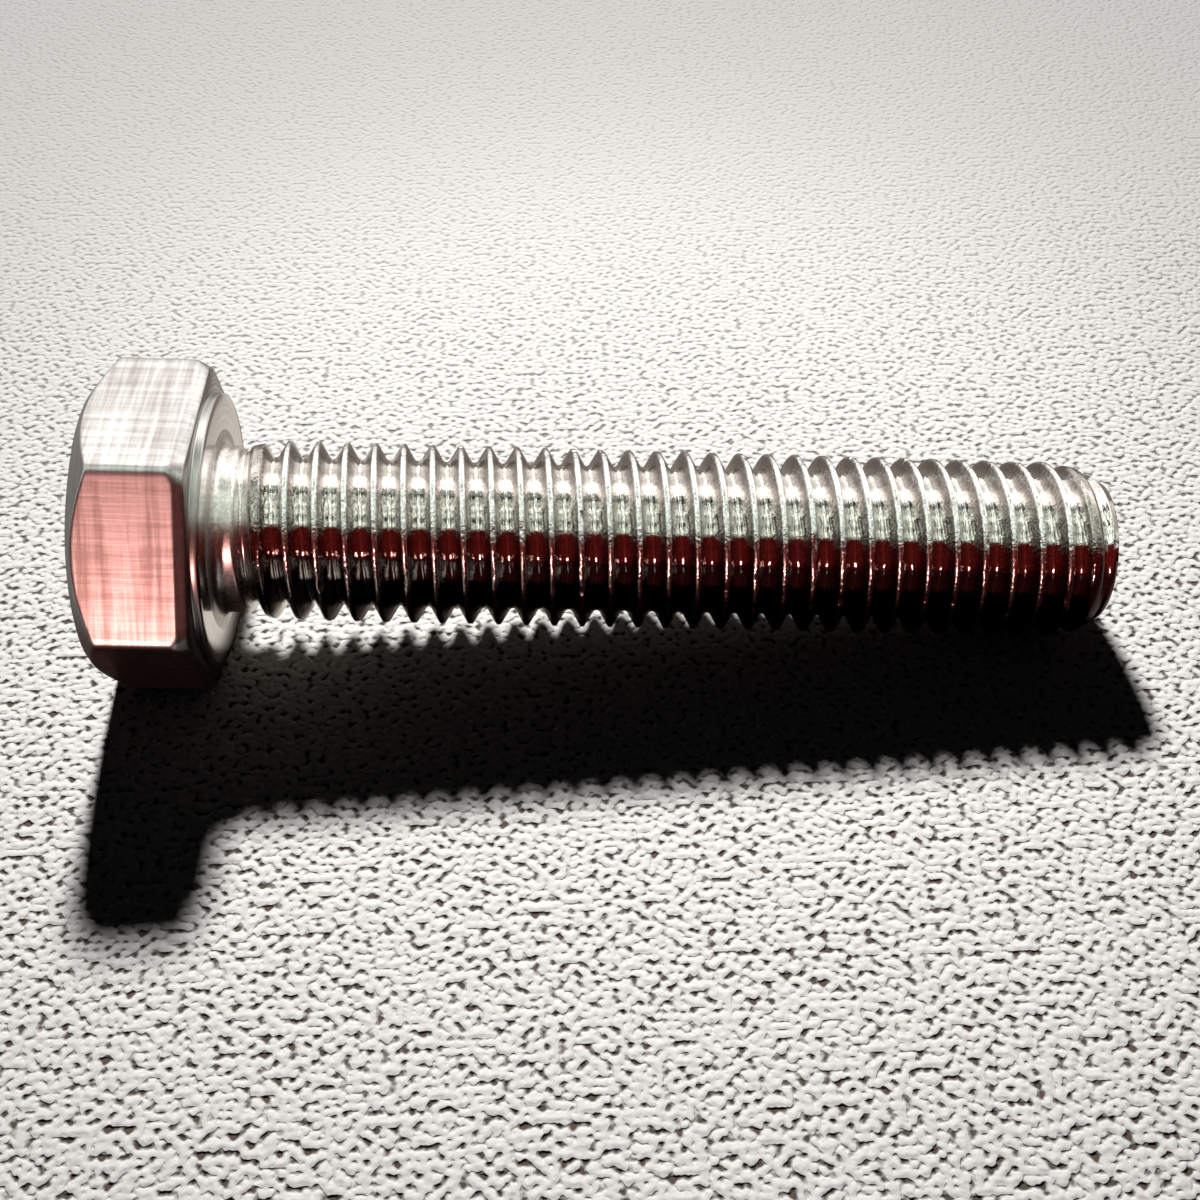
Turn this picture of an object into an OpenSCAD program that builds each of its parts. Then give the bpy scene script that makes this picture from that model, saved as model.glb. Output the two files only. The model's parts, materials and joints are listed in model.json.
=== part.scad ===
/* [Thread] */
// Diameter over the thread crests
thread_d = 7.97; // [6:0.01:10]
// Distance from one crest to the next along the shank
pitch = 1.25; // [1:0.05:1.5]
// Width of the narrow flat land along each crest
crest_w = 0.17; // [0.1:0.01:0.25]
// Radius of the rounded thread root
root_r = 0.18; // [0.1:0.01:0.2]
// Angle round the shank at which the thread starts, from the lowest line
start_angle = -15; // [-180:15:180]

/* [Shank] */
// Length from the bearing face to the tip
shank_l = 39.3; // [16:0.1:60]
// How far the neck under the head lies below the crests
neck_inset = 0.3; // [0.1:0.01:0.4]
// Length of the neck under the head
neck_l = 1; // [0.6:0.1:3]
// Length over which the first crests rise from the neck to full size
rise_l = 1.6; // [0.5:0.1:4]
// Turns that the groove takes to sink to its full depth
runout_turns = 0.85; // [0.5:0.05:1.5]
// Radius of the fillet between the neck and the bearing face
fillet_r = 0.4; // [0.1:0.05:0.6]

/* [Tip] */
// Length of the chamfer at the tip
tip_l = 1; // [0.5:0.1:2]
// How far the flat end face lies inside the crests
tip_inset = 0.85; // [0.7:0.05:1.5]
// Length behind the chamfer over which the last crests drop
lead_l = 1.4; // [0.5:0.1:3]
// How far the crests drop where the chamfer starts
lead_drop = 0.25; // [0.1:0.01:0.4]

/* [Head] */
// Width of the hexagon across its flats
across_flats = 13; // [12:0.1:17]
// Height of the head, with its washer face
head_h = 5.25; // [4:0.05:8]
// How far the circle of the end face lies inside the flats
top_inset = 0.35; // [0.1:0.05:0.8]
// Slope of the chamfer round the end face, from the end face down
top_slope = 38; // [20:1:45]
// Height of the round washer face under the hexagon
washer_h = 0.4; // [0.2:0.05:0.8]
// How far the rim of the washer face lies inside the flats
washer_inset = 0.5; // [0.3:0.05:0.8]
// Small break on the rim of the washer face
washer_break = 0.08; // [0.02:0.01:0.15]
// How far the hexagon's corners are cut back on the bearing side
corner_cut = 0.45; // [0.2:0.05:0.7]
// Height over which those corners are cut back
corner_cut_h = 0.7; // [0.4:0.05:1.2]
// How far each flat turns in at its bearing side
edge_in = 0.15; // [0.05:0.01:0.25]
// Height over which each flat turns in
edge_h = 0.45; // [0.3:0.05:1]

/* [Hidden] */
$fn = 96;

// Steps in one turn of the groove, and twice as many round the shank, so
// that the edges of the two meet
turn_steps = 24;
shank_steps = 2 * turn_steps;
// Half of the angle between the two flanks of the thread
flank = 30;
// Overlap that makes one body of two that meet
weld = 0.1;

crest_r = thread_d / 2;
neck_r = crest_r - neck_inset;
lead_r = crest_r - lead_drop;
tip_r = crest_r - tip_inset;
rise_top = neck_l + rise_l;
tip_z = shank_l - tip_l;
lead_z = tip_z - lead_l;

flat_r = across_flats / 2;
corner_r = flat_r / cos(30);
top_r = flat_r - top_inset;
washer_r = flat_r - washer_inset;
// Where the flats start to turn in: the screw lies on this edge
heel = washer_h + edge_h;

// The groove between two crests: flanks down to a round root
groove_half_w = (pitch - crest_w) / 2;
vee_r = crest_r - groove_half_w / tan(flank);
root_centre_r = vee_r + root_r / sin(flank);
groove_bottom_r = root_centre_r - root_r;
// The cutter stands this far out of the crests, clear of its next turn
proud = pitch / 15;
// The groove starts just outside the neck, above the fillet
start_z = fillet_r + 0.05;
start_lift = neck_r - groove_bottom_r + 0.02;
runout_steps = round(runout_turns * turn_steps);
cut_steps = ceil((shank_l + pitch - start_z) / pitch * turn_steps);

// Radius over the crests at a height z above the bearing face
function crest_r_at(z) = lookup(z, [
    [0, neck_r],
    [neck_l, neck_r],
    [rise_top, crest_r],
    [lead_z, crest_r],
    [tip_z, lead_r],
    [shank_l, tip_r]
]);

// Height of the crest of turn i along the lowest line of the shank
function crest_z(i) = start_z - pitch * start_angle / 360 + pitch * (i - 0.5);

// Lying down, the screw rests on the heel of one flat and on the crest
// that a straight floor from that heel meets first
function rise_to(z) = (flat_r - crest_r_at(z)) / (z + heel);
crest_turns = floor((shank_l - crest_z(1)) / pitch);
lean = atan(min([
    for (i = [1 : crest_turns], side = [-1, 1])
        rise_to(crest_z(i) + side * crest_w / 2)
]));

// Where the centre of the bearing face comes to lie
rest_z = flat_r * cos(lean) - heel * sin(lean);
end_low_x = -head_h * cos(lean) - top_r * sin(lean);
end_high_x = shank_l * cos(lean) + tip_r * sin(lean);
rest_x = -(end_low_x + end_high_x) / 2;

// The plain shank before its thread is cut, standing on the bearing face
module blank() {
    rotate_extrude($fn = shank_steps)
        polygon([
            [0, -weld],
            [neck_r, -weld],
            [neck_r, neck_l],
            [crest_r, rise_top],
            [crest_r, lead_z],
            [lead_r, tip_z],
            [tip_r, shank_l],
            [0, shank_l]
        ]);
}

// The round corner between the neck and the bearing face
module fillet() {
    rotate_extrude($fn = shank_steps)
        difference() {
            translate([neck_r - weld, -weld])
                square([fillet_r + weld, fillet_r + weld]);
            translate([neck_r + fillet_r, fillet_r])
                circle(r = fillet_r);
        }
}

// Points of the groove's section, as height and radius, lifted outwards
function section(lift) = concat(
    [[-groove_half_w - proud * tan(flank), crest_r + proud + lift]],
    [for (a = [flank - 90 : 90 - flank : 90 - flank])
        [root_r * sin(a), root_centre_r - root_r * cos(a) + lift]],
    [[groove_half_w + proud * tan(flank), crest_r + proud + lift]]
);

// Lift of the groove at step i: it sinks in steadily over the run-out
function lift_at(i) = start_lift * max(0, 1 - i / runout_steps);

// One long groove that climbs round the shank as a right-hand thread
module groove() {
    m = len(section(0));
    points = [
        for (i = [0 : cut_steps])
            let (turn = i / turn_steps, a = start_angle + 360 * turn)
                for (p = section(lift_at(i)))
                    [p[1] * cos(a), p[1] * sin(a), start_z + pitch * turn + p[0]]
    ];
    sides = [
        for (i = [0 : cut_steps - 1], k = [0 : m - 1])
            let (
                low = i * m + k,
                next = i * m + (k + 1) % m
            )
                each [[low, low + m, next], [next, low + m, next + m]]
    ];
    start_face = [for (k = [0 : m - 1]) k];
    end_face = [for (k = [m - 1 : -1 : 0]) cut_steps * m + k];
    polyhedron(points, concat([start_face], sides, [end_face]));
}

// Two opposite flats of the head, each turned in at its bearing side
module flat_pair() {
    rotate([90, 0, 0])
        linear_extrude(height = 4 * corner_r, center = true)
            polygon([
                [-flat_r + edge_in, -washer_h],
                [-flat_r, -heel],
                [-flat_r, -head_h],
                [flat_r, -head_h],
                [flat_r, -heel],
                [flat_r - edge_in, -washer_h]
            ]);
}

// The turned outline that trims the hexagon's corners at both ends
module head_outline() {
    side_r = corner_r + 1;
    top_drop = (side_r - top_r) * tan(top_slope);
    cut_slope = corner_cut / corner_cut_h;
    cut_top = washer_h + (side_r - corner_r + corner_cut) / cut_slope;
    rotate_extrude()
        polygon([
            [0, -washer_h],
            [corner_r - corner_cut, -washer_h],
            [side_r, -cut_top],
            [side_r, -head_h + top_drop],
            [top_r, -head_h],
            [0, -head_h]
        ]);
}

// The hexagon, from the end face to the washer face
module hexagon() {
    intersection() {
        flat_pair();
        rotate(60)
            flat_pair();
        rotate(120)
            flat_pair();
        head_outline();
    }
}

// The low round boss that bears on the work
module washer_face() {
    rotate_extrude()
        polygon([
            [0, -washer_h - weld],
            [washer_r, -washer_h - weld],
            [washer_r, -washer_break],
            [washer_r - washer_break, 0],
            [0, 0]
        ]);
}

// The whole screw along its own axis, with the bearing face at z = 0
module upright_screw() {
    hexagon();
    washer_face();
    difference() {
        union() {
            blank();
            fillet();
        }
        groove();
    }
}

// The screw as it comes to rest on a table
module screw() {
    color([0.74, 0.74, 0.75])
        translate([rest_x, 0, rest_z])
            rotate([0, 90 + lean, 0])
                upright_screw();
}

screw();
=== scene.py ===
# %% [markdown]
# # A hex head set screw, lying on a table
#
# The screw is one solid piece of steel: a hexagonal head with a low round washer face, a short
# neck, and a shank that is threaded all the way up. The frame gives its size and where it lies.
# This notebook gives it a finely modelled skin, its steel finishes, a table, two lamps and a
# camera.

# %% Load the frame
import json
import math
import random

import bmesh
import bpy
import numpy as np
from mathutils import Euler, Matrix, Vector


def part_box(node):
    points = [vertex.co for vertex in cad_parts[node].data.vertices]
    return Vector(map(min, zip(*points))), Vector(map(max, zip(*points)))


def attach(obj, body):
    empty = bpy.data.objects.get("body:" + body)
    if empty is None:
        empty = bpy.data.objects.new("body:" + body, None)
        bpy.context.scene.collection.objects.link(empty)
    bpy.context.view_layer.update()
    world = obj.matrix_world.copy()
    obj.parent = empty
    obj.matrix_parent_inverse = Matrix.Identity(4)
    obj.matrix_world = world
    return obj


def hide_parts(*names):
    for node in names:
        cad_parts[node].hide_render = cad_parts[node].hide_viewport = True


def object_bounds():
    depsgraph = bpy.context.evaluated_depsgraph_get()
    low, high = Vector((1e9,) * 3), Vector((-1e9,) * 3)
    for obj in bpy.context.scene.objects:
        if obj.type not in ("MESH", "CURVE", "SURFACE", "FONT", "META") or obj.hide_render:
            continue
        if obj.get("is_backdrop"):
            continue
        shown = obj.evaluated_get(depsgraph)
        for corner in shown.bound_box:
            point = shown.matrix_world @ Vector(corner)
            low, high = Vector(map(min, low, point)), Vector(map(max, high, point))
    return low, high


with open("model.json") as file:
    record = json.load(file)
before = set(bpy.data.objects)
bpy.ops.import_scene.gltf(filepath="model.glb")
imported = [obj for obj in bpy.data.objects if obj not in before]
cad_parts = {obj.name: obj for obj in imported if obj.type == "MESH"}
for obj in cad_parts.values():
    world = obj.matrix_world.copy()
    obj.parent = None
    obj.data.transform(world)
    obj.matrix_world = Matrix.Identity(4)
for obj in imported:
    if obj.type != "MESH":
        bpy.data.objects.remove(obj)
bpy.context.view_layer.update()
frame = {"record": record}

# %% [markdown]
# ## The screw's own axes
#
# A screw is turned and rolled about its own axis, so every form on it is simplest there: x points
# down to the flat that it lies on, z runs along the shank, and z = 0 is the bearing face. The
# record's mounts say where that axis lies, because the resting screw dips a little to its tip.

# %% Find the screw's own axes
mounts = {m["name"]: m for m in frame["record"]["mounts"]}
thread_mount = mounts["thread"]
shank_l = thread_mount["dims"]["length_mm"]
crest_r = thread_mount["dims"]["r_mm"]

along = Vector(thread_mount["axis"]).normalized()
across = Vector((0, 1, 0))
down = across.cross(along).normalized()
bearing_centre = Vector(thread_mount["pos_m"]) - along * (shank_l / 2000)

own_turn = Matrix((down, across, along)).transposed()
own_to_row = Matrix.Translation(bearing_centre) @ own_turn.to_4x4() @ Matrix.Scale(0.001, 4)
print("the axis dips by", round(math.degrees(math.asin(-along.z)), 2), "degrees")

# %% [markdown]
# ## The camera
#
# It stands in front of the screw and looks down on it at about 44 degrees. It is only 73 mm away,
# and at that distance the near parts of a small thing look clearly larger than the far parts. Its
# place is given in millimetres in the frame, and its three angles in degrees.

# %% Set up the camera
camera_place = Vector((-1.01, -51.61, 51.79))
camera_down = 44.3
camera_right = 0.81
camera_roll = -0.91
camera_lens = 46.26

camera_data = bpy.data.cameras.new("camera")
camera_data.lens = camera_lens
camera_data.sensor_width = 36
camera_data.clip_start = 0.005
camera = bpy.data.objects.new("camera", camera_data)
look = Euler((math.radians(90 - camera_down), 0, math.radians(-camera_right)), "XYZ").to_matrix()
tip_over = Matrix.Rotation(math.radians(camera_roll), 3, "Z")
camera.matrix_world = Matrix.Translation(camera_place / 1000) @ (look @ tip_over).to_4x4()
bpy.context.scene.collection.objects.link(camera)
bpy.context.scene.camera = camera

# %% [markdown]
# ## Sizes of the screw
#
# These are the sizes of an M8 screw, in millimetres, with the same values as in the part's
# source. The three rounds at the end are extra: a real screw has no knife edges, and it is the
# little roundings that catch the light.

# %% Name the sizes
pitch = 1.25
crest_w = 0.17
root_r = 0.18
thread_start = -15
neck_inset = 0.3
neck_r = crest_r - neck_inset
neck_l = 1.0
rise_l = 1.6
runout_turns = 0.85
fillet_r = 0.4
tip_l = 1.0
tip_inset = 0.85
tip_r = crest_r - tip_inset
lead_l = 1.4
lead_drop = 0.25
lead_r = crest_r - lead_drop

across_flats = 13
flat_r = across_flats / 2
corner_r = flat_r / math.cos(math.pi / 6)
head_h = 5.25
top_inset = 0.35
top_r = flat_r - top_inset
top_slope = math.radians(38)
washer_h = 0.4
washer_inset = 0.5
washer_r = flat_r - washer_inset
washer_break = 0.08
corner_cut = 0.45
corner_cut_h = 0.7
edge_in = 0.15
edge_h = 0.45
heel = washer_h + edge_h

corner_round = 0.45
edge_round = 0.12
crest_round = 0.05
print("across the flats:", across_flats, "mm, over the crests:", round(2 * crest_r, 2), "mm")

# %% [markdown]
# ## Angles round the screw
#
# Head and thread are both made of rings of points about the screw's axis, and they share the same
# angles, so that the whole screw closes into one watertight mesh. The six corners of the hexagon
# need points close together, and the flats need only a few, so the steps grow away from a corner.

# %% Choose the angles
corner_steps = [0.32, 0.65, 0.97, 1.6, 2.6, 4.2, 6.5, 9.5, 13, 17, 21, 25.5]


def ring_angles():
    """Angles in radians, from the lowest line of the screw, crowded at the hexagon's corners."""
    degrees = []
    for corner in range(30, 390, 60):
        degrees.append(corner)
        degrees.append(corner + 30)
        for step in corner_steps:
            degrees += [corner - step, corner + step]
    return np.radians(np.sort(np.mod(degrees, 360)))


angles = ring_angles()
columns = len(angles)
print("points in each ring:", columns)


# %% [markdown]
# ## The head's outline
#
# The head is cold-formed: flats, a conical chamfer round the end face, corners cut back beside the
# washer face, and a slight turn-in where the flats end. At each angle and height the surface is
# the innermost of these. A minimum that is blended over a few hundredths of a millimetre gives
# every edge its small round in one go, where bevels would fight with the curved chamfer edges.

# %% Write the head's outline
def blended_min(a, b, width):
    """The smaller of a and b, with the corner between them rounded over that width."""
    overlap = np.maximum(width - np.abs(a - b), 0)
    return np.minimum(a, b) - overlap**2 / (4 * width)


def hexagon_radius(angle, apothem):
    """Distance from the axis to a hexagon with rounded corners."""
    sixth = math.pi / 3
    off_flat = np.abs(np.mod(angle + sixth / 2, sixth) - sixth / 2)
    straight = apothem / np.cos(off_flat)
    centre = (apothem - corner_round) / math.cos(sixth / 2)
    off_corner = sixth / 2 - off_flat
    reach = np.maximum(corner_round**2 - (centre * np.sin(off_corner)) ** 2, 0)
    rounded = centre * np.cos(off_corner) + np.sqrt(reach)
    turn = np.arctan((apothem - corner_round) * math.tan(sixth / 2) / apothem)
    return np.where(off_flat > turn, rounded, straight)


def side_radius(angle, height):
    """Distance from the axis to the side of the head, at a height over the bearing face."""
    turned_in = edge_in * np.clip((heel - height) / (heel - washer_h), 0, 1)
    flats = hexagon_radius(angle, flat_r - turned_in)
    chamfer = top_r + (head_h - height) / math.tan(top_slope)
    cut = corner_r - corner_cut + (height - washer_h) * corner_cut / corner_cut_h
    return blended_min(blended_min(flats, chamfer, edge_round), cut, edge_round)


def chamfer_height(angle):
    """Height at which the conical chamfer meets the flats and corners."""
    return head_h - (hexagon_radius(angle, flat_r) - top_r) * math.tan(top_slope)


meets = chamfer_height(angles)
print("the chamfer's edge runs from", round(meets.min(), 2), "to", round(meets.max(), 2), "mm")


# %% [markdown]
# ## The thread's outline
#
# A rolled thread has straight flanks at 30 degrees, a round root and a narrow crest. Under the
# head its groove sinks into the neck over most of a turn while the crests rise, and at the tip
# the crests drop into the chamfer. All of that is one radius for each angle and height.

# %% Write the thread's outline
flank = math.radians(30)
vee_r = crest_r - (pitch - crest_w) / 2 / math.tan(flank)
root_centre_r = vee_r + root_r / math.sin(flank)
start_z = fillet_r + 0.05
start_lift = neck_r - (root_centre_r - root_r) + 0.02


def blank_radius(z):
    """Radius over the crests: neck, rise, shank, lead and chamfer."""
    stations = [0, neck_l, neck_l + rise_l, shank_l - tip_l - lead_l, shank_l - tip_l, shank_l]
    return np.interp(z, stations, [neck_r, neck_r, crest_r, crest_r, lead_r, tip_r])


def groove_radius(angle, z):
    """Radius to the bottom and flanks of the one long groove."""
    turn = np.mod((np.degrees(angle) - thread_start) / 360, 1)
    nearest = np.round((z - start_z) / pitch - turn)
    radius = np.full(np.broadcast(angle, z).shape, np.inf)
    for neighbour in (-1, 0, 1):
        turns = turn + nearest + neighbour
        off = np.abs(z - start_z - pitch * turns)
        lift = start_lift * np.maximum(0, 1 - turns / runout_turns)
        root = root_centre_r - np.sqrt(np.maximum(root_r**2 - off**2, 0))
        wall = vee_r + off / math.tan(flank)
        cut = np.where(off < root_r * math.cos(flank), root, wall) + lift
        radius = np.minimum(radius, np.where(turns >= 0, cut, np.inf))
    return radius


def thread_radius(angle, z):
    """The shank's surface: the groove, cut into the blank."""
    groove = np.minimum(groove_radius(angle, z), 2 * crest_r)
    return blended_min(blank_radius(z), groove, crest_round)


print("thread depth:", round(crest_r - root_centre_r + root_r, 3), "mm")


# %% [markdown]
# ## Knocks on the crests
#
# Loose screws knock against each other in their box, and the sharp crests take the marks: short
# flattened places, some with a little burr. They are pressed into the mesh as shallow dents at
# places drawn once from a seeded generator, so that they stay the same on every run.

# %% Place the knocks
knock_lengths = (0.12, 0.45)
knock_depths = (0.03, 0.09)
knock_off_crest = 0.08
knock_width = 0.16


def knocks(angle, z, count=300, seed=11):
    """How deep the crests are knocked in, in mm."""
    rng = random.Random(seed)
    deep = np.zeros(np.broadcast(angle, z).shape)
    for _ in range(count):
        at_angle = rng.uniform(0, 2 * math.pi)
        turn = rng.randrange(2, int(shank_l / pitch) - 2)
        crest_z = start_z + pitch * (turn + 0.5 + (math.degrees(at_angle) - thread_start) / 360)
        length = rng.uniform(*knock_lengths)
        depth = rng.uniform(*knock_depths)
        side = rng.uniform(-knock_off_crest, knock_off_crest)
        off = np.angle(np.exp(1j * (angle - at_angle))) * crest_r
        away = (off / length) ** 2 + ((z - crest_z - side) / knock_width) ** 2
        deep = np.maximum(deep, depth * np.maximum(0, 1 - away))
    return deep


print("the knocks go in between", knock_depths[0], "and", knock_depths[1], "mm")

# %% [markdown]
# ## Rings of points
#
# The head is a stack of rings from the middle of the end face, over the chamfer and down the
# flats, round the washer face and into the fillet. The rows of the thread don't lie level: they
# climb with the helix, so that each row stays on its crest, flank or root all the way round. Rows
# that would run past the neck or the tip are held back there, where they pile up and are merged.

# %% Make the rings of the head
fine_h = 1.3
end_radii = (0.7, 1.6, 2.6, 3.6, 4.5, 5.3, top_r - 0.25, top_r - 0.12)
chamfer_shares = (0.05, 0.12, 0.25, 0.45, 0.65, 0.82, 0.93, 1.0)
below_chamfer = (0.03, 0.07, 0.14)
washer_side = (-0.32, -0.2, -0.1)
washer_radii = (washer_r - washer_break, 5.6, 5.2, 4.8, 4.4)


def level_ring(radius, z):
    """One ring with the same radius all round."""
    return np.full(columns, float(radius)), np.full(columns, float(z))


def head_rings():
    """(radius, z, finish) of each ring, from the end face to the neck."""
    rings = []
    for radius in end_radii:
        rings.append((*level_ring(radius, -head_h), "end"))
    rings.append((*level_ring(top_r - 0.05, -head_h + 0.008), "end"))
    for share in chamfer_shares:
        height = head_h - share * (head_h - meets)
        rings.append((side_radius(angles, height), -height, "end"))
    for drop in below_chamfer:
        height = meets - drop
        rings.append((side_radius(angles, height), -height, "flats"))
    for share in np.linspace(0.08, 1, 9):
        height = meets - below_chamfer[-1] - share * (meets - below_chamfer[-1] - fine_h)
        rings.append((side_radius(angles, height), -height, "flats"))
    for height in np.arange(fine_h - 0.05, washer_h + 0.01, -0.05):
        heights = np.full(columns, height)
        rings.append((side_radius(angles, heights), -heights, "flats"))
    rim = side_radius(angles, np.full(columns, washer_h))
    rings.append((rim - 0.03, np.full(columns, -washer_h), "end"))
    rings.append((*level_ring(washer_r + 0.08, -washer_h), "end"))
    rings.append((*level_ring(washer_r + 0.01, -washer_h + 0.02), "end"))
    for z in washer_side:
        rings.append((*level_ring(washer_r, z), "end"))
    rings.append((*level_ring(washer_r - 0.02, -0.03), "end"))
    for radius in washer_radii:
        rings.append((*level_ring(radius, 0), "washer"))
    for turn in np.radians(np.arange(0, 91, 15)):
        radius = neck_r + fillet_r * (1 - math.sin(turn))
        rings.append((*level_ring(radius, fillet_r * (1 - math.cos(turn))), "thread"))
    return rings


head = head_rings()
print("rings in the head:", len(head))

# %% Make the rows of the thread
row_steps = [0, 0.075, 0.105, 0.15, 0.27, 0.39, 0.475, 0.55, 0.625]
row_steps += [pitch - step for step in reversed(row_steps[1:-1])]


def thread_rows():
    """Radius and z of every point of the thread, one row for each place in the groove."""
    crest_z = start_z - pitch * thread_start / 360 - pitch / 2
    lowest = crest_z - pitch * math.ceil((crest_z - fillet_r + pitch) / pitch)
    turns = math.ceil((shank_l - lowest) / pitch) + 1
    starts = [lowest + pitch * turn + step for turn in range(turns) for step in row_steps]
    climb = pitch * angles / (2 * math.pi)
    z = np.clip(np.array(starts)[:, None] + climb[None, :], fillet_r, shank_l)
    wide = np.broadcast_to(angles, z.shape)
    radius = thread_radius(wide, z) - knocks(wide, z)
    return np.where(z > fillet_r, radius, neck_r), z


thread_r, thread_z = thread_rows()
rows = len(thread_r)
print("rows in the thread:", rows)


# %% [markdown]
# ## One closed mesh
#
# The rings become a mesh: quads between neighbouring rings, a fan over each end. After one turn a
# row of the thread has climbed by a pitch, so its last point joins the row that starts a pitch
# higher. Points that fell together at the ends are merged, which leaves one watertight skin.

# %% Build the skin of the screw
finish_names = ["flats", "end", "washer", "thread"]
tip_radii = (tip_r - 0.08, 2.3, 1.6, 0.8)


def ring_points(radius, z):
    """The points of one ring in the screw's own axes."""
    return np.stack([radius * np.cos(angles), radius * np.sin(angles), z], axis=1)


def screw_mesh():
    """The vertices in the screw's own axes, the faces and the finish of each face."""
    points = [ring_points(radius, z) for radius, z, _ in head]
    points += [ring_points(thread_r[i], thread_z[i]) for i in range(rows)]
    for radius in tip_radii:
        points.append(ring_points(*level_ring(radius, shank_l)))
    first_row = len(head)
    last_row = first_row + rows - 1
    faces, finishes = [], []

    def quads(a, b, finish, shift=0):
        """A band of faces between two rings, closed with a ring that lies further on."""
        for i in range(columns):
            j = (i + 1) % columns
            up = shift if j == 0 else 0
            corners = (a * columns + i, (a + up) * columns + j)
            tops = ((b + up) * columns + j, b * columns + i)
            faces.append(corners + tops)
            finishes.append(finish_names.index(finish))

    for a in range(len(head) - 1):
        quads(a, a + 1, head[a + 1][2])
    per_turn = len(row_steps)
    for a in range(first_row, last_row - per_turn):
        quads(a, a + 1, "thread", per_turn)
    for a in range(last_row, len(points) - 1):
        quads(a, a + 1, "end")
    verts = np.concatenate(points)
    centres = np.array([[0, 0, -head_h], [0, 0, shank_l]])
    end_centre, tip_centre = len(verts), len(verts) + 1
    last_ring = (len(points) - 1) * columns
    for i in range(columns):
        j = (i + 1) % columns
        faces.append((end_centre, j, i))
        faces.append((tip_centre, last_ring + i, last_ring + j))
        finishes += [finish_names.index("end")] * 2
    return np.concatenate([verts, centres]), faces, finishes


def make_screw():
    """The skin as an object, in the frame's axes and in metres."""
    verts, faces, finishes = screw_mesh()
    mesh = bpy.data.meshes.new("screw_skin")
    mesh.from_pydata(verts.tolist(), [], faces)
    mesh.polygons.foreach_set("material_index", finishes)
    obj = bpy.data.objects.new("screw_skin", mesh)
    bpy.context.scene.collection.objects.link(obj)
    skin = bmesh.new()
    skin.from_mesh(mesh)
    bmesh.ops.remove_doubles(skin, verts=skin.verts, dist=1e-5)
    bmesh.ops.dissolve_degenerate(skin, edges=skin.edges, dist=1e-6)
    bmesh.ops.recalc_face_normals(skin, faces=skin.faces)
    print("open edges:", sum(1 for edge in skin.edges if not edge.is_manifold))
    skin.to_mesh(mesh)
    skin.free()
    mesh.transform(own_to_row)
    mesh.shade_smooth()
    return obj


screw = make_screw()
print("faces of the screw:", len(screw.data.polygons))

# %% [markdown]
# ## Help for the finishes
#
# Every finish is made of shader nodes that work on the screw's own axes in millimetres, so that a
# scratch or a ring is as wide as it is on real steel. A Mapping node of the Texture type undoes the
# screw's place and lean. A stretched noise makes lines: it changes fast one way, slowly the other.

# %% Write the node helpers
def add_node(tree, kind, inputs=None, **settings):
    """A new node with its settings, and its inputs set or linked."""
    node = tree.nodes.new(kind)
    for name, value in settings.items():
        setattr(node, name, value)
    for name, value in (inputs or {}).items():
        if isinstance(value, bpy.types.NodeSocket):
            tree.links.new(value, node.inputs[name])
        else:
            node.inputs[name].default_value = value
    return node


def calculate(tree, operation, a, b=0.0, c=0.0):
    """The result of one sum or other operation."""
    return add_node(tree, "ShaderNodeMath", {0: a, 1: b, 2: c}, operation=operation).outputs[0]


def times(tree, a, b):
    """Two values, multiplied."""
    return calculate(tree, "MULTIPLY", a, b)


def spread(tree, value, low, high, start=0.3, end=0.7):
    """A value that goes from low to high as another goes from start to end, and stops there."""
    inputs = {"Value": value, "From Min": start, "From Max": end, "To Min": low, "To Max": high}
    return add_node(tree, "ShaderNodeMapRange", inputs).outputs[0]


def blend(tree, factor, first, second):
    """A colour from the first to the second, each given as three numbers or as a socket."""
    inputs = {0: factor}
    for place, colour in ((6, first), (7, second)):
        linked = isinstance(colour, bpy.types.NodeSocket)
        inputs[place] = colour if linked else (*colour, 1)
    return add_node(tree, "ShaderNodeMix", inputs, data_type="RGBA").outputs[2]


def dim(tree, colour, share):
    """A colour, made darker by a share."""
    inputs = {0: colour, "Scale": share}
    return add_node(tree, "ShaderNodeVectorMath", inputs, operation="SCALE").outputs[0]


def tones(tree, factor, stops):
    """Colours by place on a scale from 0 to 1, blended in between."""
    ramp = add_node(tree, "ShaderNodeValToRGB", {"Fac": factor})
    elements = ramp.color_ramp.elements
    while len(elements) < len(stops):
        elements.new(0.5)
    for element, (place, colour) in zip(elements, stops):
        element.position = place
        element.color = (*colour, 1)
    return ramp.outputs[0]


print("helpers for the nodes:", add_node.__name__, blend.__name__, tones.__name__)

# %% Write the helpers for steel
def new_steel(name):
    """A metal and its shader."""
    material = bpy.data.materials.new(name)
    material.use_nodes = True
    shader = material.node_tree.nodes["Principled BSDF"]
    shader.inputs["Metallic"].default_value = 1
    return material, shader


def own_axes(tree):
    """A point in the screw's own axes, in mm."""
    place = add_node(tree, "ShaderNodeTexCoord").outputs["Object"]
    inputs = {
        "Vector": place,
        "Location": bearing_centre,
        "Rotation": own_turn.to_euler(),
        "Scale": (0.001, 0.001, 0.001),
    }
    return add_node(tree, "ShaderNodeMapping", inputs, vector_type="TEXTURE").outputs["Vector"]


def stretched_noise(tree, point, scales, detail=3):
    """Noise from 0 to 1 that changes that many times per mm along each axis."""
    scaled = add_node(tree, "ShaderNodeVectorMath", {0: point, 1: scales}, operation="MULTIPLY")
    inputs = {"Vector": scaled.outputs[0], "Scale": 1, "Detail": detail, "Roughness": 0.6}
    return add_node(tree, "ShaderNodeTexNoise", inputs).outputs[0]


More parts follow.
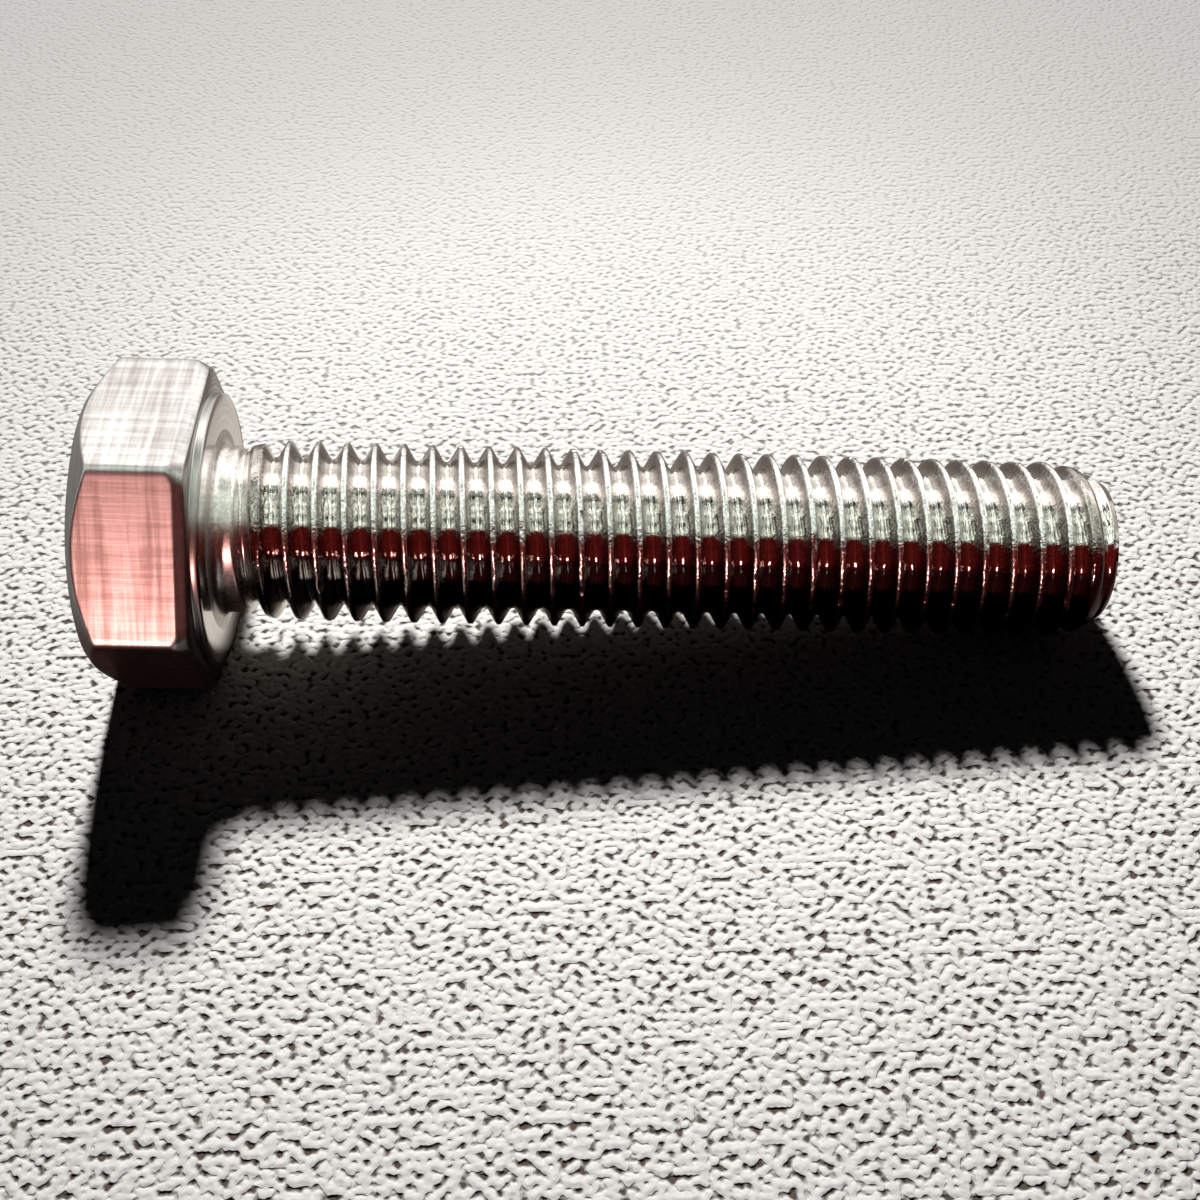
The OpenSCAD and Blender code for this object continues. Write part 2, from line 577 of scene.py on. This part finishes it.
def round_axes(tree, point, helix=0.0):
    """The radius, and (radius, turns, height) with the height less the climb of a helix."""
    x, y, z = add_node(tree, "ShaderNodeSeparateXYZ", {0: point}).outputs
    radius = calculate(tree, "SQRT", calculate(tree, "ADD", times(tree, x, x), times(tree, y, y)))
    angle = calculate(tree, "ARCTAN2", times(tree, y, -1.0), times(tree, x, -1.0))
    turns = calculate(tree, "DIVIDE", angle, 2 * math.pi)
    height = calculate(tree, "SUBTRACT", z, times(tree, turns, helix))
    inputs = {0: radius, 1: turns, 2: height}
    return radius, add_node(tree, "ShaderNodeCombineXYZ", inputs).outputs[0]


def raise_surface(tree, shader, height, depth_mm):
    """The shader's surface, raised and sunk by a height from 0 to 1."""
    bump = add_node(tree, "ShaderNodeBump", {"Height": height, "Distance": depth_mm / 1000})
    tree.links.new(bump.outputs[0], shader.inputs["Normal"])


print("helpers for the steel:", own_axes.__name__, stretched_noise.__name__, round_axes.__name__)

# %% [markdown]
# ## Brushed flats
#
# The flats carry cross-hatched lines: fine ones along the screw from the forming die, and bolder
# ones across it from handling. Two stretched noises, one each way, give the lines. They shade the
# steel and change its roughness, and they raise it by about two hundredths of a millimetre.

# %% Make the finish of the flats
flats_tones = (0.31, 0.28, 0.27), (0.525, 0.525, 0.525)


def make_flats_steel():
    """Steel with lines both along the screw and across it."""
    material, shader = new_steel("steel_flats")
    tree = material.node_tree
    point = own_axes(tree)
    lengthways = stretched_noise(tree, point, (3.4, 3.4, 0.16))
    crossways = stretched_noise(tree, point, (0.14, 0.14, 2.6))
    hatch = calculate(tree, "MULTIPLY_ADD", lengthways, 0.36, times(tree, crossways, 0.64))
    tint = blend(tree, spread(tree, hatch, 0, 1, 0.40, 0.58), *flats_tones)
    tree.links.new(tint, shader.inputs["Base Color"])
    tree.links.new(spread(tree, hatch, 0.40, 0.28), shader.inputs["Roughness"])
    ridges = calculate(tree, "MULTIPLY_ADD", lengthways, 0.18, times(tree, crossways, 0.82))
    raise_surface(tree, shader, ridges, 0.022)
    return material


flats_steel = make_flats_steel()
print("made", flats_steel.name)

# %% [markdown]
# ## Turned end faces
#
# The end face, its chamfer and the tip were faced by a tool, which leaves very fine rings round
# the axis. Here the noise is stretched round the screw instead of along it: it changes fast with
# the radius and the height, and hardly at all with the angle. The washer face is smoother.

# %% Make the finish of the turned faces
def make_turned_steel(name, rough, smooth, dark, light, depth_mm):
    """Steel with fine rings round the screw."""
    material, shader = new_steel(name)
    tree = material.node_tree
    _, polar = round_axes(tree, own_axes(tree))
    rings = stretched_noise(tree, polar, (7.0, 1.5, 7.0), detail=4)
    tint = blend(tree, spread(tree, rings, 0, 1), dark, light)
    tree.links.new(tint, shader.inputs["Base Color"])
    tree.links.new(spread(tree, rings, rough, smooth), shader.inputs["Roughness"])
    raise_surface(tree, shader, rings, depth_mm)
    return material


end_tones = (0.34, 0.33, 0.32), (0.56, 0.55, 0.54)
washer_tones = (0.58, 0.565, 0.55), (0.70, 0.685, 0.67)
end_steel = make_turned_steel("steel_end", 0.36, 0.24, *end_tones, 0.006)
washer_steel = make_turned_steel("steel_washer", 0.2, 0.1, *washer_tones, 0.002)
print("made", end_steel.name, "and", washer_steel.name)

# %% [markdown]
# ## Rolled thread
#
# A thread is pressed between dies, so it is smooth, with fine streaks that follow the helix. The
# crests are rubbed, and so are bright but a little rough. The roots are painted lighter, a painted
# highlight, and the flanks between them are painted darker, a painted shade in the groove; small
# stains darken the steel here and there. The distance from the axis says where in the groove a
# point lies, and a ramp of tones over that distance gives all three. A light that goes down a
# groove is mirrored two or three times, and each time it takes on the steel's tone again, so a tone
# that looks only a little darker here makes the flanks a lot darker.

# %% Colour the thread
# Painted light: the flanks are painted darker, a painted shade in the groove, and the roots are
# painted lighter, a painted highlight; the crests are lighter from rubbing.
groove_wear_and_painted_light_tones = [
    (0.08, (0.84, 0.81, 0.78)),
    (0.26, (0.74, 0.71, 0.68)),
    (0.58, (0.43, 0.40, 0.38)),
    (0.92, (0.385, 0.36, 0.34)),
    (1.00, (0.86, 0.86, 0.85)),
]


def colour_thread(tree, shader, rise, streaks, pits, threaded):
    """The tone of each place in the groove, with painted shade on the flanks, a painted highlight
    in the roots, streaks along it and small stains.
    """
    place = times(tree, calculate(tree, "MULTIPLY_ADD", streaks, 0.16, rise), threaded)
    clean = tones(tree, place, groove_wear_and_painted_light_tones)
    stained = dim(tree, clean, spread(tree, pits, 0.76, 1, 0.42, 0.56))
    tree.links.new(stained, shader.inputs["Base Color"])


print("tones in the groove:", len(groove_wear_and_painted_light_tones))

# %% Make the finish of the thread
def roughen_thread(tree, shader, radius, pits, threaded):
    """Polished flanks, rubbed crests and a plainer neck."""
    rubbed = spread(tree, radius, 0, 1, crest_r - 0.1, crest_r - 0.02)
    neck = spread(tree, threaded, 0.27, 0, 0, 1)
    polish = calculate(tree, "ADD", spread(tree, pits, 0.03, 0.07), neck)
    rough = calculate(tree, "MULTIPLY_ADD", rubbed, 0.13, polish)
    tree.links.new(rough, shader.inputs["Roughness"])


def make_thread_steel():
    """Steel with a tone, a polish and a relief for each place in the groove."""
    material, shader = new_steel("steel_thread")
    tree = material.node_tree
    point = own_axes(tree)
    radius, helical = round_axes(tree, point, pitch)
    streaks = stretched_noise(tree, helical, (3.0, 1.2, 9.0), detail=4)
    pits = stretched_noise(tree, point, (6.0, 6.0, 6.0), detail=2)
    height = add_node(tree, "ShaderNodeSeparateXYZ", {0: point}).outputs[2]
    threaded = spread(tree, height, 0, 1, neck_l, neck_l + 1)
    rise = spread(tree, radius, 0, 1, root_centre_r - root_r, crest_r)
    colour_thread(tree, shader, rise, streaks, pits, threaded)
    roughen_thread(tree, shader, radius, pits, threaded)
    up_flank = spread(tree, rise, 0.12, 0.7, 0.1, 0.9)
    off_neck = spread(tree, threaded, 0.2, 1, 0, 1)
    worked = times(tree, up_flank, off_neck)
    dents = times(tree, spread(tree, pits, 0, 1), worked)
    raise_surface(tree, shader, calculate(tree, "MULTIPLY_ADD", streaks, 0.08, dents), 0.018)
    return material


thread_steel = make_thread_steel()
print("made", thread_steel.name)

# %% [markdown]
# ## Put the skin on the screw
#
# The four finishes go into the slots that the mesh was built with. The skin then stands for the
# solid of the frame, which stays there for the physics, and it rides on the only body.

# %% Dress the screw
for material in (flats_steel, end_steel, washer_steel, thread_steel):
    screw.data.materials.append(material)
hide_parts("screw")
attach(screw, "root")
solid_low, solid_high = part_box("screw")
lowest, highest = (round(1000 * corner[2], 3) for corner in (solid_low, solid_high))
print("the solid lies between", lowest, "and", highest, "mm over the table")

# %% [markdown]
# ## The table
#
# The table is a pale board, embossed with a fine lumpy grain. Lumps this small would need millions
# of faces, so they are a bump on one large square. A soft noise gives both the low lumps and, where
# it is highest, small sunk pits that are painted dark, a painted shade in the hollows. Behind the
# screw the grain lies calmer and the painted shade fades, and away from the screw the board is
# painted a little darker, a painted falloff of the pool of light. It lies at z = 0, where the screw
# rests.

# %% Make the face of the board
backdrop_tone = (0.46, 0.455, 0.45)
board_tone = (0.88, 0.87, 0.85)
pit_painted_shade_tone = (0.15, 0.11, 0.09)


def board_face(tree, shader, in_mm, away, reach):
    """The board's colour, with painted shade in its pits and a painted pool of light, and its
    relief. Away is the distance behind the screw.
    """
    inputs = {"Vector": in_mm, "Scale": 2.9, "Detail": 0.4, "Roughness": 0.5}
    grain = add_node(tree, "ShaderNodeTexNoise", inputs).outputs[0]
    pits = spread(tree, grain, 0, 1, 0.53, 0.73)
    # Painted shade: the sunk pits are painted dark, less so behind the screw.
    dark = times(tree, spread(tree, pits, 0, 1, 0.35, 1), spread(tree, away, 1, 0.15, 0, 40))
    board = blend(tree, dark, board_tone, pit_painted_shade_tone)
    # Painted light: the board is painted darker away from the screw, a painted pool of light.
    far = calculate(tree, "POWER", calculate(tree, "DIVIDE", reach, 38.0), 4.0)
    near = calculate(tree, "DIVIDE", 0.45, calculate(tree, "ADD", far, 1.0))
    tone = dim(tree, board, calculate(tree, "ADD", near, 0.55))
    tree.links.new(tone, shader.inputs["Base Color"])
    lumps = calculate(tree, "MULTIPLY_ADD", spread(tree, grain, 0, 1, 0.25, 0.60), 0.45, pits)
    raise_surface(tree, shader, times(tree, lumps, spread(tree, away, -1, -0.35, 0, 45)), 0.11)


print("tone of the board:", board_tone, "and of its pits:", pit_painted_shade_tone)

# %% [markdown]
# ## What the metal sees of the table
#
# Bright metal mirrors the table, and a pale table would turn the whole underside of the screw
# white. The lamp stands behind the screw, so the table in front lies in the screw's shadow. Rays
# that come from metal get a painted reflection of the board instead, darker than the board: nearly
# black in front, a painted shadow, grey behind, and paler under the neck and past the end of the
# head, painted light where the light gets in. Far off, the eye sees the board take the tone of the
# backdrop, so that hardly any line shows between the two.

# %% Make the table's material
# Painted reflection of the board: a painted shadow in front, a dimmer grey behind, and painted
# light under the neck and past the head.
mirrored_painted_shadow = (0.02, 0.003, 0.003)
mirrored_behind = (0.22, 0.19, 0.17)
mirrored_painted_light_neck = (0.66, 0.62, 0.57)
mirrored_painted_light_past_head = (0.30, 0.287, 0.27)
haze_start, haze_end = 60, 280


def painted_board_reflection(tree, along, away):
    """The board's painted reflection in the metal: painted shadow in front, painted light under the
    neck and past the head.
    """
    behind = spread(tree, away, 0, 1, -6, 6)
    board = blend(tree, behind, mirrored_painted_shadow, mirrored_behind)
    before_thread = spread(tree, along, 1, 0, -14, -12.5)
    after_head = spread(tree, along, 0, 1, -17, -16.5)
    under_neck = times(tree, before_thread, after_head)
    lit = blend(tree, under_neck, board, mirrored_painted_light_neck)
    past_end = spread(tree, along, 1, 0, -38, -28)
    not_in_front = spread(tree, away, 0, 1, -60, -42)
    past_head = times(tree, past_end, not_in_front)
    whole = blend(tree, past_head, lit, mirrored_painted_light_past_head)
    return add_node(tree, "ShaderNodeBsdfDiffuse", {"Color": whole}).outputs[0]


def make_table_top():
    """The board for the eye, a painted reflection of the board for the metal, and the far haze."""
    material = bpy.data.materials.new("table_board")
    material.use_nodes = True
    tree = material.node_tree
    shader = tree.nodes["Principled BSDF"]
    shader.inputs["Roughness"].default_value = 0.6
    shader.inputs["Specular IOR Level"].default_value = 0
    place = add_node(tree, "ShaderNodeTexCoord").outputs["Object"]
    inputs = {0: place, 1: (1000, 1000, 1000)}
    in_mm = add_node(tree, "ShaderNodeVectorMath", inputs, operation="MULTIPLY").outputs[0]
    along, away, _ = add_node(tree, "ShaderNodeSeparateXYZ", {0: in_mm}).outputs
    inputs = {0: in_mm, 1: (0, 8, 0)}
    reach = add_node(tree, "ShaderNodeVectorMath", inputs, operation="DISTANCE").outputs["Value"]
    board_face(tree, shader, in_mm, away, reach)
    rays = add_node(tree, "ShaderNodeLightPath").outputs
    inputs = {0: rays["Is Glossy Ray"], 1: shader.outputs[0], 2: painted_board_reflection(tree, along, away)}
    board = add_node(tree, "ShaderNodeMixShader", inputs).outputs[0]
    haze = add_node(tree, "ShaderNodeEmission", {"Color": (*backdrop_tone, 1)}).outputs[0]
    far = times(tree, spread(tree, reach, 0, 1, haze_start, haze_end), rays["Is Camera Ray"])
    whole = add_node(tree, "ShaderNodeMixShader", {0: far, 1: board, 2: haze}).outputs[0]
    tree.links.new(whole, tree.nodes["Material Output"].inputs["Surface"])
    return material


table_board = make_table_top()
print("made", table_board.name)

# %% Lay the table
bpy.ops.mesh.primitive_plane_add(size=4, location=(0, 0, 0))
table = bpy.context.object
table.name = "table"
table.data.materials.append(table_board)
table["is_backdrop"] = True
print("table, m:", tuple(round(side, 2) for side in table.dimensions))

# %% [markdown]
# ## The light
#
# One small lamp stands behind the screw, half way up the sky, and throws the shadow towards the
# camera. The table around the screw is evenly bright, so its light is set to stay as strong at any
# distance. A lamp this small would show in the metal as a dot, so the metal doesn't see it:
# the bright band in the room, further on, stands in for it. A small warm pink lamp low in front
# works the other way and shows only in the metal: it tints the front flat and puts a glint in
# each root.

# %% Set up the lamps
def add_lamp(name, place_mm, width_mm, radiance, colour):
    """A round flat lamp that faces the screw, with the brightness of its face."""
    data = bpy.data.lights.new(name, "AREA")
    data.shape = "DISK"
    data.size = width_mm / 1000
    area = math.pi * (data.size / 2) ** 2
    data.energy = radiance * math.pi * area
    data.color = colour
    lamp = bpy.data.objects.new(name, data)
    lamp.location = Vector(place_mm) / 1000
    lamp.rotation_euler = (-lamp.location).to_track_quat("-Z", "Y").to_euler()
    lamp.visible_camera = False
    bpy.context.scene.collection.objects.link(lamp)
    lamp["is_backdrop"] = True
    return lamp


def even_falloff(lamp):
    """The same light at any distance as the lamp now throws on the screw."""
    lamp.data.use_nodes = True
    tree = lamp.data.node_tree
    inputs = {"Strength": 1 / lamp.location.length**2}
    falloff = add_node(tree, "ShaderNodeLightFalloff", inputs)
    tree.links.new(falloff.outputs["Constant"], tree.nodes["Emission"].inputs["Strength"])


lamp_behind = add_lamp("lamp_behind", (-20, 177, 182), 28, 500, (1, 0.985, 0.965))
lamp_behind.visible_glossy = False
even_falloff(lamp_behind)

lamp_front = add_lamp("lamp_front", (-80, -256, 36), 14, 475, (1, 0.48, 0.42))
lamp_front.visible_diffuse = False
lamp_front.data.cycles.max_bounces = 0
print("lamps:", lamp_behind.name, lamp_front.name)

# %% [markdown]
# ## The room
#
# The room is dim, so the shadow stays deep, but bright metal looks dead with nothing to mirror.
# Rays that come from metal see a fuller room instead. Its tones run in bands from the front floor
# line (0) over the ceiling (0.5) to the back floor line (1): dark red low in front, a cluttered
# grey-green ceiling, and behind it a bright band like a softbox. To the sides it is plainer. The
# camera sees only a pale backdrop, and the table gets a little fill.

# %% Make the room that the metal sees
room_tones = [
    (0.00, (0.05, 0.003, 0.003)),
    (0.05, (0.10, 0.008, 0.007)),
    (0.27, (0.10, 0.008, 0.007)),
    (0.29, (0.50, 0.56, 0.49)),
    (0.65, (0.60, 0.64, 0.58)),
    (0.67, (3.00, 2.92, 2.80)),
    (0.78, (3.00, 2.92, 2.80)),
    (0.81, (1.30, 1.26, 1.20)),
    (1.00, (1.50, 1.45, 1.38)),
]
side_tones = [
    (0.20, (0.10, 0.008, 0.008)),
    (0.30, (0.50, 0.53, 0.49)),
    (0.64, (0.50, 0.50, 0.46)),
    (0.68, (1.20, 1.10, 1.00)),
    (0.82, (0.40, 0.35, 0.30)),
]


def mirrored_room(tree):
    """The room in the metal: bands of tones, with clutter on the ceiling."""
    facing = add_node(tree, "ShaderNodeTexCoord").outputs["Generated"]
    x, y, z = add_node(tree, "ShaderNodeSeparateXYZ", {0: facing}).outputs
    around = calculate(tree, "ARCTAN2", z, times(tree, y, -1.0))
    share = spread(tree, around, 0, 1, 0, math.pi)
    sideways = spread(tree, calculate(tree, "ABSOLUTE", x), 0, 1, 0.6, 0.95)
    walls = blend(tree, sideways, tones(tree, share, room_tones), tones(tree, share, side_tones))
    inputs = {"Vector": facing, "Scale": 6, "Detail": 2}
    clutter = add_node(tree, "ShaderNodeTexNoise", inputs).outputs[0]
    lit = spread(tree, clutter, 0.0, 4.2, 0.44, 0.60)
    from_front = spread(tree, share, 0, 1, 0.27, 0.30)
    to_band = spread(tree, share, 1, 0, 0.63, 0.66)
    ceiling = times(tree, from_front, to_band)
    strength = calculate(tree, "MULTIPLY_ADD", ceiling, calculate(tree, "SUBTRACT", lit, 1.0), 1.0)
    inputs = {"Color": walls, "Strength": strength}
    return add_node(tree, "ShaderNodeBackground", inputs).outputs[0]


print("bands of the room:", len(room_tones), "and at its sides:", len(side_tones))

# %% Light the room
fill_strength = 0.003


def make_room():
    """The room in the metal, the fill on the table and the backdrop for the camera."""
    world = bpy.context.scene.world or bpy.data.worlds.new("room")
    bpy.context.scene.world = world
    world.use_nodes = True
    tree = world.node_tree
    tree.nodes.clear()
    inputs = {"Color": (1, 1, 1, 1), "Strength": fill_strength}
    fill = add_node(tree, "ShaderNodeBackground", inputs).outputs[0]
    inputs = {"Color": (*backdrop_tone, 1), "Strength": 1.0}
    backdrop = add_node(tree, "ShaderNodeBackground", inputs).outputs[0]
    rays = add_node(tree, "ShaderNodeLightPath").outputs
    before_table = calculate(tree, "LESS_THAN", rays["Diffuse Depth"], 0.5)
    in_metal = times(tree, rays["Is Glossy Ray"], before_table)
    inputs = {0: in_metal, 1: fill, 2: mirrored_room(tree)}
    lit = add_node(tree, "ShaderNodeMixShader", inputs).outputs[0]
    inputs = {0: rays["Is Camera Ray"], 1: lit, 2: backdrop}
    seen = add_node(tree, "ShaderNodeMixShader", inputs).outputs[0]
    add_node(tree, "ShaderNodeOutputWorld", {"Surface": seen})
    return world


room = make_room()
bpy.context.scene.view_settings.view_transform = "Standard"
print("lit", room.name)

# %% [markdown]
# ## Measure and finish
#
# The dressed screw has to fill the same box as the solid of the frame. Its box is measured and
# printed.

# %% Measure the box and finish
new_low, new_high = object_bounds()
sides = [round(1000 * (high - low), 2) for low, high in zip(new_low, new_high)]
print("box of the dressed screw, mm:", sides)
